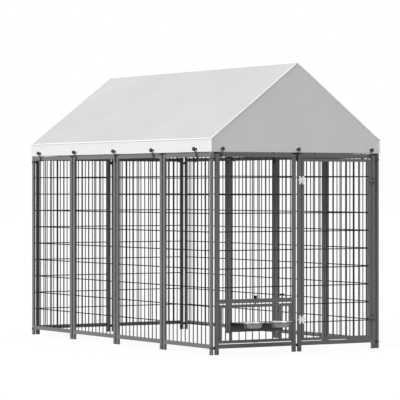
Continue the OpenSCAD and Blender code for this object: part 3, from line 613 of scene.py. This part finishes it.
    def step_hem(self, sheet: bpy.types.Object) -> None:
        """Moves every point below the hem line outwards by one layer, along its own normal in plan.

        Args:
            sheet: the welded sheet, before it has a thickness.
        """
        count = len(sheet.data.vertices)
        flat = np.empty(count * 3)
        sheet.data.vertices.foreach_get("co", flat)
        co = flat.reshape(-1, 3)
        near = 0.1 * MM
        middle, half_length = (self.front + self.rear) / 2, (self.rear - self.front) / 2
        below = co[:, 2] < self.low + self.hem
        on_side = np.abs(np.abs(co[:, 0]) - self.half_width) < near
        on_end = np.abs(np.abs(co[:, 1] - middle) - half_length) < near
        co[:, 0] += np.where(below & on_side, np.sign(co[:, 0]) * self.hem_step, 0)
        co[:, 1] += np.where(below & on_end, np.sign(co[:, 1] - middle) * self.hem_step, 0)
        sheet.data.vertices.foreach_set("co", co.ravel())
        sheet.data.update()

    def eyelet_cutter(self, ties: Sequence[Tie], plan: Plan, height: float) -> bpy.types.Object:
        """Closed rods through the skirt at every eyelet.

        Args:
            ties: tie-downs whose eyelets pierce the skirt.
            plan: outer faces of the run's frame.
            height: height of the eyelets.
        Returns:
            One object that holds all the rods.
        """
        sides = 40
        angle = np.linspace(0, 2 * math.pi, sides, endpoint=False)
        reach = np.array([-20.0, 20.0]) * MM
        ring = np.stack([np.cos(angle), np.sin(angle)], -1) * self.hole / 2
        rod = np.empty((2, sides, 3))
        rod[..., 0] = reach[:, None]
        rod[..., 1] = ring[None, :, 0]
        rod[..., 2] = ring[None, :, 1] + height
        rods = np.stack([tie.place(rod, plan) for tie in ties])
        mesh = bpy.data.meshes.new("eyelet_cutter")
        faces = []
        for k in range(len(ties)):
            first = k * 2 * sides
            faces += grid_faces(2, sides, first, closed=True).tolist()
            faces += [list(range(first, first + sides)), list(range(first + sides, first + 2 * sides))]
        mesh.from_pydata(rods.reshape(-1, 3), [], faces)
        cutter = bpy.data.objects.new("eyelet_cutter", mesh)
        bpy.context.scene.collection.objects.link(cutter)
        clean(cutter, 0.001 * MM)
        return cutter

    def edge_lines(self) -> list[tuple[np.ndarray, np.ndarray]]:
        """Folds that carry the edge tape with its painted highlight: eaves, upright corners and gable
        edges.

        Returns:
            Pairs of a path and a direction square to it.
        """
        lines = []
        hw, steps = self.half_width, 24
        for sx in (-1, 1):
            ends = np.linspace(self.front, self.rear, steps)
            eave = np.stack([np.full(steps, sx * hw), ends, np.full(steps, self.eave)], -1)
            lines.append((eave, np.array([1.0, 0, 0])))
            for y in (self.front, self.rear):
                z = np.linspace(self.low, self.eave, steps)
                upright = np.stack([np.full(steps, sx * hw), np.full(steps, y), z], -1)
                slope = np.linspace(0, 1, steps)
                rake = np.stack([sx * hw * (1 - slope), np.full(steps, y),
                                 self.eave + (self.ridge - self.eave) * slope], -1)
                lines.append((upright, np.array([0, 1.0, 0])))
                lines.append((rake, np.array([0, 1.0, 0])))
        return lines

    def build_piping(self) -> bpy.types.Object:
        """Makes the folded edge tape as thin tubes laid on the folds.

        Returns:
            One object with every length of tape.
        """
        sides = 10
        tubes, quads, uvs = [], [], []
        start = 0
        for path, across in self.edge_lines():
            tube = tube_points(path, across, self.piping, sides)
            run = np.concatenate([[0], np.cumsum(np.linalg.norm(np.diff(path, axis=0), axis=1))])
            turn = np.arange(sides) * 2 * math.pi * self.piping / sides
            tubes.append(tube.reshape(-1, 3))
            uvs.append(np.stack(np.broadcast_arrays(run[:, None], turn[None, :]), -1).reshape(-1, 2))
            quads.append(grid_faces(len(path), sides, start, closed=True))
            start += len(path) * sides
        piece = make_piece("roof_cover_edge_tape", np.concatenate(tubes), np.concatenate(quads),
                           np.concatenate(uvs), EDGE_TAPE_PAINTED_HIGHLIGHT.build())
        fill_ends(piece)
        return piece


@dataclass
class TieDowns:
    """Elastic cords with a moulded ball, one through each eyelet of the cover's skirt."""

    plan: Plan
    ties: Sequence[Tie]
    eyelet_z: float
    ball: float
    ball_out: float
    cord: float = 1.8 * MM
    spread: float = 5.6 * MM
    bend: float = 5 * MM
    inside: float = 16.6 * MM
    outside: float = 3.8 * MM
    knot: float = 2.8 * MM
    knot_drop: float = 35 * MM
    groove: float = 0.35 * MM
    groove_width: float = 0.05

    @classmethod
    def read(cls, plan: Plan, ties: Sequence[Tie]) -> "TieDowns":
        """Reads the balls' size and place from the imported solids.

        Args:
            plan: outer faces of the run's frame.
            ties: all tie-downs.
        Returns:
            The tie-downs with their sizes.
        """
        low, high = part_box("bungee_balls")
        ball = (high[2] - low[2]) / 2
        return cls(plan, ties, eyelet_z=low[2] + ball, ball=ball, ball_out=high[0] - ball - plan.half_width)

    def route(self, tie: Tie) -> np.ndarray:
        """Centre line of one strand in its upright plane, with quarter bends at its three turns.

        It runs from the ball through the eyelet, down behind the rail, under it, up outside it to the knot
        and out to the ball.

        Args:
            tie: the tie-down.
        Returns:
            Points as outwards and up, one per row.
        """
        r, drop = self.bend, self.eyelet_z - tie.low
        quarter = np.radians(np.linspace(0, 90, 9))

        def bend_at(out: float, up: float, start: float) -> np.ndarray:
            """Quarter circle round a middle point, from an angle on."""
            angle = math.radians(start) + quarter
            return np.stack([out + r * np.cos(angle), up + r * np.sin(angle)], -1)

        bury = 0.7 * self.ball
        first = np.linspace(self.ball_out - bury, r - self.inside, 6)[:-1]
        turn = np.array([self.outside, -self.knot_drop])
        ball = np.array([self.ball_out, 0.0])
        last = ball + (turn - ball) / np.linalg.norm(turn - ball) * bury
        flat = np.concatenate([
            np.stack([first, np.zeros(len(first))], -1),
            bend_at(r - self.inside, -r, 90),
            bend_at(r - self.inside, r - drop, 180),
            bend_at(self.outside - r, r - drop, 270),
            [turn - np.array([0, 2 * self.knot]), turn, (turn + last) / 2, last]])
        return flat + np.array([0, self.eyelet_z])

    def build_cords(self) -> bpy.types.Object:
        """Sweeps both strands of every tie-down, each with the knot where it turns out to its ball.

        Returns:
            One object with all the strands.
        """
        sides = 10
        tubes, quads, uvs = [], [], []
        start = 0
        pole = 0.05
        polar = np.linspace(pole, math.pi - pole, 9)
        bulge = turned(self.knot * np.cos(polar), self.knot * np.sin(polar), sides)
        for tie in self.ties:
            flat = self.route(tie)
            run = np.concatenate([[0], np.cumsum(np.linalg.norm(np.diff(flat, axis=0), axis=1))])
            turn = np.arange(sides) * 2 * math.pi * self.cord / sides
            for s in (-self.spread, self.spread):
                path = np.stack([flat[:, 0], np.full(len(flat), s), flat[:, 1]], -1)
                strand = tube_points(path, np.array([0, 1.0, 0]), self.cord, sides)
                knot = bulge + np.array([self.outside, s, self.eyelet_z - self.knot_drop])
                for shape, along in ((strand, run), (knot, polar * self.knot)):
                    tubes.append(tie.place(shape, self.plan).reshape(-1, 3))
                    uv = np.stack(np.broadcast_arrays(along[:, None], turn[None, :]), -1)
                    uvs.append(uv.reshape(-1, 2))
                    quads.append(grid_faces(len(shape), sides, start, closed=True))
                    start += len(shape) * sides
        piece = make_piece("tie_down_cords", np.concatenate(tubes), np.concatenate(quads),
                           np.concatenate(uvs), CORD_BRAID.build())
        fill_ends(piece)
        return piece

    def build_balls(self) -> bpy.types.Object:
        """Turns each ball about its own axis: a sphere with a parting groove of `groove_width` radians.

        Returns:
            One object with all the balls.
        """
        sides = 32
        angle = np.linspace(0, math.pi, 41)
        dent = np.exp(-((angle - math.pi / 2) / self.groove_width) ** 2)
        radius = self.ball - self.groove * dent
        out = radius * np.cos(angle)
        shape = turned(out, radius * np.sin(angle), sides) + np.array([self.ball_out, 0, self.eyelet_z])
        round_ = np.linspace(0, 2 * math.pi, sides, endpoint=False)
        balls = np.stack([tie.place(shape, self.plan) for tie in self.ties])
        per = len(angle) * sides
        count = len(self.ties)
        quads = np.concatenate([grid_faces(len(angle), sides, k * per, closed=True) for k in range(count)])
        one = np.stack(np.broadcast_arrays(round_[None, :] * self.ball, out[:, None]), -1)
        uv = np.tile(one.reshape(-1, 2), (count, 1))
        piece = make_piece("tie_down_balls", balls, quads, uv, BALL_PLASTIC.build())
        clean(piece, 0.01 * MM)
        return piece


@dataclass
class Bowls:
    """Two spun bowls with rolled rims in the feeder's shelf."""

    top: float = 63 * MM
    base: float = 52 * MM
    wall: float = 1.2 * MM
    bead: float = 2.2 * MM
    base_round: float = 9 * MM
    lift: float = 0.1 * MM

    def section(self, rim: float, depth: float) -> tuple[np.ndarray, int]:
        """Outline of a bowl from the middle of its base, up the outside, over the bead and down the inside.

        Args:
            rim: radius of the rim.
            depth: depth below the shelf.
        Returns:
            Points as radius and height over the shelf, and how many of them lie on the outside.
        """
        def corner(a: np.ndarray, b: np.ndarray, c: np.ndarray) -> np.ndarray:
            """Rounds the corner b between a and c with a quadratic curve of the base's rounding."""
            u = (a - b) / np.linalg.norm(a - b) * self.base_round
            v = (c - b) / np.linalg.norm(c - b) * self.base_round
            t = np.linspace(0, 1, 9)[:, None]
            return b + u * (1 - t) ** 2 + v * t ** 2

        top, lift = self.top, self.lift
        foot, knee, lip = np.array([0, -depth]), np.array([self.base, -depth]), np.array([top, lift])
        outside = np.concatenate([[foot], corner(foot, knee, lip), [lip - (lip - knee) * 0.06]])
        turn = np.radians(np.linspace(-150, 100, 13))
        bead_middle = np.array([rim - self.bead, lift + self.bead])
        bead = bead_middle + self.bead * np.stack([np.cos(turn), np.sin(turn)], -1)
        under = np.array([[top + 2 * MM, lift]])
        shift = np.array([-self.wall, self.wall * 0.4])
        inner_top = np.array([[top + 3 * MM, lift + 1.5 * self.bead], [top - 1 * MM, lift + self.bead]])
        inner_knee = knee + np.array([-self.wall, self.wall])
        inner_foot = foot + np.array([0, self.wall])
        inner_lip = lip + shift
        inner_bend = corner(inner_lip, inner_knee, inner_foot)
        inside = np.concatenate([[inner_lip - (lip - knee) * 0.08], inner_bend, [inner_foot]])
        return np.concatenate([outside, under, bead, inner_top, inside]), len(outside)

    def build(self, node: str) -> bpy.types.Object:
        """Turns the section about the bowl's axis.

        Args:
            node: solid that the bowl stands for.
        Returns:
            The bowl.
        """
        low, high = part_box(node)
        rim = (high[0] - low[0]) / 2
        centre = ((low[0] + high[0]) / 2, (low[1] + high[1]) / 2)
        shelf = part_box("feeder_shelf")[1][2]
        section, outer = self.section(rim, shelf - low[2])
        sides = 96
        angle = np.linspace(0, 2 * math.pi, sides, endpoint=False)
        points = np.empty((len(section), sides, 3))
        points[..., 0] = centre[0] + section[:, None, 0] * np.cos(angle)
        points[..., 1] = centre[1] + section[:, None, 0] * np.sin(angle)
        points[..., 2] = shelf + section[:, None, 1]
        run = np.concatenate([[0], np.cumsum(np.linalg.norm(np.diff(section, axis=0), axis=1))])
        uv = np.stack(np.broadcast_arrays(angle[None, :] * rim, run[:, None]), -1)
        quads = grid_faces(len(section), sides, closed=True)
        piece = make_piece(node + "_spun", points, quads, uv, STAINLESS.build())
        # The outside of each bowl gets the darker steel, as painted shade below the shelf.
        piece.data.materials.append(STAINLESS_PAINTED_SHADE.build())
        painted_shade_faces = np.arange(len(piece.data.polygons)) < outer * sides
        piece.data.polygons.foreach_set("material_index", painted_shade_faces.astype(np.int32))
        clean(piece, 0.01 * MM)
        return piece


# Studio


@dataclass
class Studio:
    """Camera at the photograph's angle, soft light from the left, and a pale floor."""

    sun: float = 2.0
    sun_width: float = 30.0
    towards: tuple[float, float, float] = (-0.95, -0.05, 0.45)
    sky_low: float = 0.25
    sky_high: float = 1.0
    sky_gloss: float = 0.8
    floor_reach: float = 60.0
    floor_drop: float = 0.5 * MM
    floor_gloss: float = 0.4
    floor_lift: float = 0.9
    lens: float = 210.5
    sensor: float = 36.0
    azimuth: float = -31.13
    place: tuple[float, float, float] = (-8.0836, -13.4149, 1.0189)
    horizon_px: float = 188.74

    def add_camera(self, middle_y: float) -> None:
        """Adds the level camera; the horizon's row in the image gives its shift.

        Args:
            middle_y: middle of the run's frame in Y, from which the camera's place is measured.
        """
        data = bpy.data.cameras.new("camera")
        data.lens = self.lens
        data.sensor_width = self.sensor
        data.shift_y = (self.horizon_px - IMAGE_PX / 2) / IMAGE_PX
        data.clip_end = 200
        camera = bpy.data.objects.new("camera", data)
        camera.location = Vector(self.place) + Vector((0, middle_y, 0))
        camera.rotation_euler = (math.pi / 2, 0, math.radians(self.azimuth))
        bpy.context.scene.collection.objects.link(camera)
        bpy.context.scene.camera = camera

    def add_light(self) -> None:
        """Adds a wide sun on the left and a sky that is brightest overhead.

        The camera sees the sky white, and shiny surfaces reflect it nearly white, as in a studio.
        """
        sun = bpy.data.lights.new("left_key", "SUN")
        sun.energy = self.sun
        sun.angle = math.radians(self.sun_width)
        lamp = bpy.data.objects.new("left_key", sun)
        lamp.rotation_mode = "QUATERNION"
        lamp.rotation_quaternion = Vector(self.towards).to_track_quat("Z", "Y")
        bpy.context.scene.collection.objects.link(lamp)
        world = bpy.data.worlds.new("pale_sky")
        world.use_nodes = True
        tree = world.node_tree
        tree.nodes.clear()
        ray = add_node(tree, "ShaderNodeLightPath").outputs
        way = add_node(tree, "ShaderNodeTexCoord").outputs["Generated"]
        rise = add_node(tree, "ShaderNodeSeparateXYZ", {"Vector": way}).outputs["Z"]
        glow = add_node(tree, "ShaderNodeMapRange", {
            "Value": rise, "From Min": 0.0, "From Max": 0.6,
            "To Min": self.sky_low, "To Max": self.sky_high})
        shine = add_node(tree, "ShaderNodeMapRange", {
            "Value": ray["Is Glossy Ray"], "To Min": glow.outputs["Result"], "To Max": self.sky_gloss})
        strength = add_node(tree, "ShaderNodeMapRange", {
            "Value": ray["Is Camera Ray"], "To Min": shine.outputs["Result"], "To Max": 1.0})
        sky = add_node(tree, "ShaderNodeBackground", {
            "Color": linear("#ffffff"), "Strength": strength.outputs["Result"]})
        add_node(tree, "ShaderNodeOutputWorld", {"Surface": sky.outputs["Background"]})
        bpy.context.scene.world = world
        bpy.context.scene.view_settings.view_transform = "Standard"

    def add_floor(self) -> None:
        """Adds a large mottled floor, lifted to white for the camera and paler in reflections."""
        size = self.floor_reach
        corners = np.array([[-size, -size, 0], [size, -size, 0], [size, size, 0], [-size, size, 0]])
        mesh = bpy.data.meshes.new("studio_floor")
        mesh.from_pydata(corners, [], [(0, 1, 2, 3)])
        material = bpy.data.materials.new("pale_floor_paint")
        material.use_nodes = True
        tree = material.node_tree
        tree.nodes.clear()
        place = add_node(tree, "ShaderNodeTexCoord").outputs["Object"]
        mottle = add_node(tree, "ShaderNodeTexNoise", {"Vector": place, "Scale": 0.4, "Detail": 2.0})
        paint = ramp(tree, mottle.outputs["Fac"], "#a6a6a6", "#aaaaaa")
        seen = ramp(tree, mottle.outputs["Fac"], "#575757", "#5b5b5b")
        ray = add_node(tree, "ShaderNodeLightPath").outputs
        colour = add_node(tree, "ShaderNodeMixRGB", {
            "Fac": ray["Is Camera Ray"], "Color1": paint, "Color2": seen})
        shine = add_node(tree, "ShaderNodeMapRange", {
            "Value": ray["Is Glossy Ray"], "To Min": 0.0, "To Max": self.floor_gloss})
        lift = add_node(tree, "ShaderNodeMapRange", {
            "Value": ray["Is Camera Ray"], "To Min": shine.outputs["Result"], "To Max": self.floor_lift})
        shader = add_node(tree, "ShaderNodeBsdfPrincipled", {
            "Base Color": colour.outputs["Color"], "Roughness": 0.9, "Specular IOR Level": 0.0,
            "Emission Color": linear("#ffffff"), "Emission Strength": lift.outputs["Result"]})
        add_node(tree, "ShaderNodeOutputMaterial", {"Surface": shader.outputs["BSDF"]})
        mesh.materials.append(material)
        floor = bpy.data.objects.new("studio_floor", mesh)
        floor.data.transform(Matrix.Translation((0, 0, -self.floor_drop)))
        bpy.context.scene.collection.objects.link(floor)


# Solids


@dataclass(frozen=True)
class WireField:
    """Space between the tubes of a welded frame, which only its wires cross.

    The field starts one `edge` inside the frame's box, and at the height `floor` if that is given. A pair
    of uprights may stand in it, `upright` from the frame's middle.
    """

    edge: float
    floor: Optional[float] = None
    upright: Optional[float] = None
    upright_half: float = 10 * MM
    slack: float = 0.3 * MM

    def faces(self, node: str) -> np.ndarray:
        """Finds the faces of a solid that lie in the field.

        Args:
            node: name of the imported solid.
        Returns:
            One truth value per face.
        """
        mesh = frame["nodes"][node].data
        flat = np.empty(len(mesh.polygons) * 3)
        mesh.polygons.foreach_get("center", flat)
        centres = flat.reshape(-1, 3)
        low, high = (np.array(corner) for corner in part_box(node))
        across = 0 if high[0] - low[0] > high[1] - low[1] else 1
        inset = self.edge + self.slack
        floor = low[2] + inset if self.floor is None else self.floor
        place, height = centres[:, across], centres[:, 2]
        inside = (place > low[across] + inset) & (place < high[across] - inset)
        inside &= (height > floor) & (height < high[2] - inset)
        if self.upright is not None:
            middle = (low[across] + high[across]) / 2
            inside &= np.abs(np.abs(place - middle) - self.upright) > self.upright_half
        return inside


PANELS = ("left_panel", "right_panel", "rear_panel")
PANEL_FIELD = WireField(25 * MM, floor=64 * MM)
WIRE_FIELDS: dict[str, WireField] = {
    "feeder_panel": WireField(25 * MM, floor=339 * MM),
    "door_leaf": WireField(18 * MM),
    "feeder_frame": WireField(18 * MM, upright=182 * MM),
}


def dress_solids() -> None:
    """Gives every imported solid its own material, or else that of its slot in the record."""
    made = {name: finish.build() for name, finish in (SLOT_FINISHES | NODE_FINISHES).items()}
    wire = WIRE_COAT_PAINTED_SHADE.build()
    for entry in frame["record"]["subparts"]:
        node, slot = entry["node"], entry["material_slot"]
        if slot in made:
            mesh = frame["nodes"][node].data
            material = made.get(node, made[slot])
            mesh.materials.clear()
            mesh.materials.append(material)
            field_ = WIRE_FIELDS.get(node, PANEL_FIELD if node.startswith(PANELS) else None)
            # Faces in a wire field get the darker wire coat, which is painted shade.
            if field_:
                mesh.materials.append(wire)
                mesh.polygons.foreach_set("material_index", field_.faces(node).astype(np.int32))
            log.info("%s dressed as %s", node, material.name)


def add_piece(piece: bpy.types.Object, body: str, slot: str, *nodes: str) -> None:
    """Joins a new piece to its body and hides the solids that it stands for.

    Args:
        piece: the new piece.
        body: body that carries it.
        slot: material slot in the record; not used.
        nodes: solids that it replaces.
    """
    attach(piece, body)
    if nodes:
        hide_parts(*nodes)
    log.info("%s rides on %s, %d faces", piece.name, body, len(piece.data.polygons))


def tie_places(plan: Plan) -> list[Tie]:
    """Works out the tie-downs' places from the panels' sizes.

    Args:
        plan: outer faces of the run's frame.
    Returns:
        Five on each long side and three on each end.
    """
    panel, post, gap, wires = 590 * MM, 25 * MM, 16 * MM, 10
    pitch = (panel - 2 * post) / (wires + 1)
    middle = (plan.front + plan.rear) / 2
    third = gap / 2
    fourth = third + panel + gap
    rail_low, stud_low = 1212.4 * MM, 1192.9 * MM
    ties = []
    for side in (Side.LEFT, Side.RIGHT):
        for start, place, low in (
                (-fourth, wires - 2, rail_low), (-third, wires - 0.5, rail_low), (0, None, stud_low),
                (third, wires + 0.5, rail_low), (fourth, wires - 1.25, rail_low)):
            along = 0.0 if place is None else start + math.copysign(post + place * pitch, start)
            ties.append(Tie(side, middle + along, low))
    end_inset = 15 * MM
    edge = gap / 2 + panel - post - end_inset
    for side in (Side.FRONT, Side.REAR):
        for along, low in ((-edge, rail_low), (0, stud_low), (edge, rail_low)):
            ties.append(Tie(side, along, low))
    return ties


def main() -> None:
    """Builds the studio, dresses the solids and adds the soft pieces in order."""
    logging.basicConfig(level=logging.INFO, format="%(message)s")
    plan = Plan.read()
    studio = Studio()
    studio.add_camera((plan.front + plan.rear) / 2)
    studio.add_light()
    studio.add_floor()
    dress_solids()

    ties = tie_places(plan)
    low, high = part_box("roof_cover")
    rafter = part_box("rafter_middle_left")
    cover = RoofCover(low=low[2], eave=EAVE_Z, ridge=high[2], half_width=high[0],
                      front=low[1], rear=high[1],
                      rafter_lines=(low[1], (rafter[0][1] + rafter[1][1]) / 2, high[1]))
    downs = TieDowns.read(plan, ties)
    sheet = cover.build(ties, plan, downs.eyelet_z)
    tape = cover.build_piping()
    add_piece(sheet, "kennel", "cover_sheet", "roof_cover")
    add_piece(tape, "kennel", "cover_sheet")

    add_piece(downs.build_cords(), "kennel", "elastic_cord", "bungee_cords")
    add_piece(downs.build_balls(), "kennel", "black_plastic", "bungee_balls")

    bowls = Bowls()
    add_piece(bowls.build("bowl_left"), "left_bowl", "stainless_steel", "bowl_left")
    add_piece(bowls.build("bowl_right"), "right_bowl", "stainless_steel", "bowl_right")


if __name__ == "__main__":
    main()
